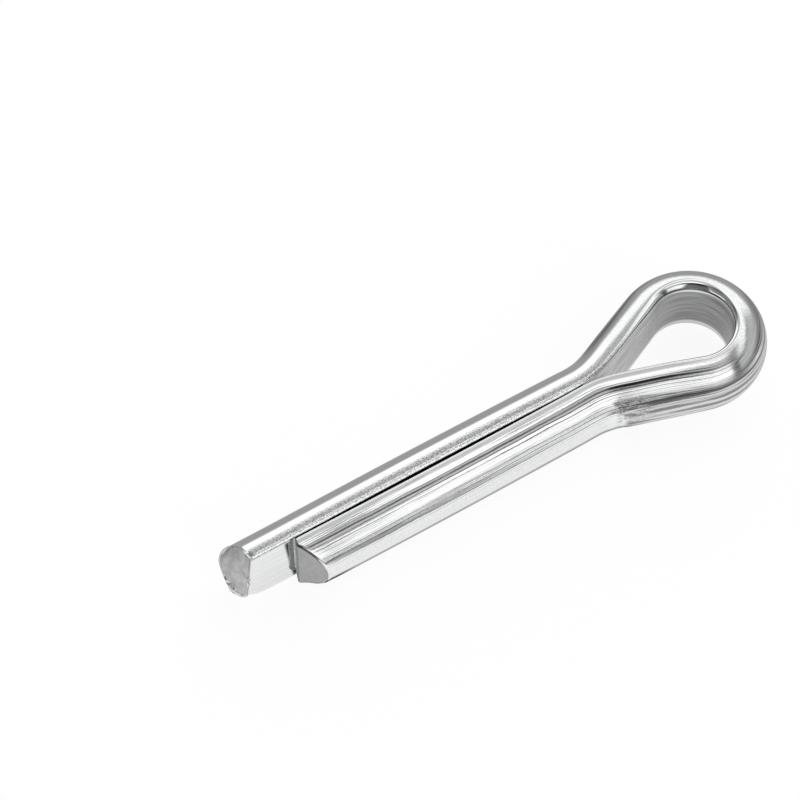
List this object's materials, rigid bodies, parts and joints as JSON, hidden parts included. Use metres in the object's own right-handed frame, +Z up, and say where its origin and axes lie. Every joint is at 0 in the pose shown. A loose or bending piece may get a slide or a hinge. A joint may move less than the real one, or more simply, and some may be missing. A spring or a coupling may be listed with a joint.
{
  "type": "cotter pin",
  "caption": "Split cotter pin folded from half-round steel wire, with a teardrop eye and flat-faced legs of unequal length that close into a round shank.",
  "frame": {"origin": "axis of the shank at the neck, where the legs start to spread into the eye", "axes": "+X along the shank from the tips towards the eye, +Y towards the long leg, +Z up, square to the flat eye"},
  "size_m": [0.0589, 0.015, 0.0074],
  "materials": {
    "steel": "bright drawn wire with fine lengthwise lines"
  },
  "bodies": {
    "root": {"cotter_pin": "steel"}
  },
  "joints": []
}
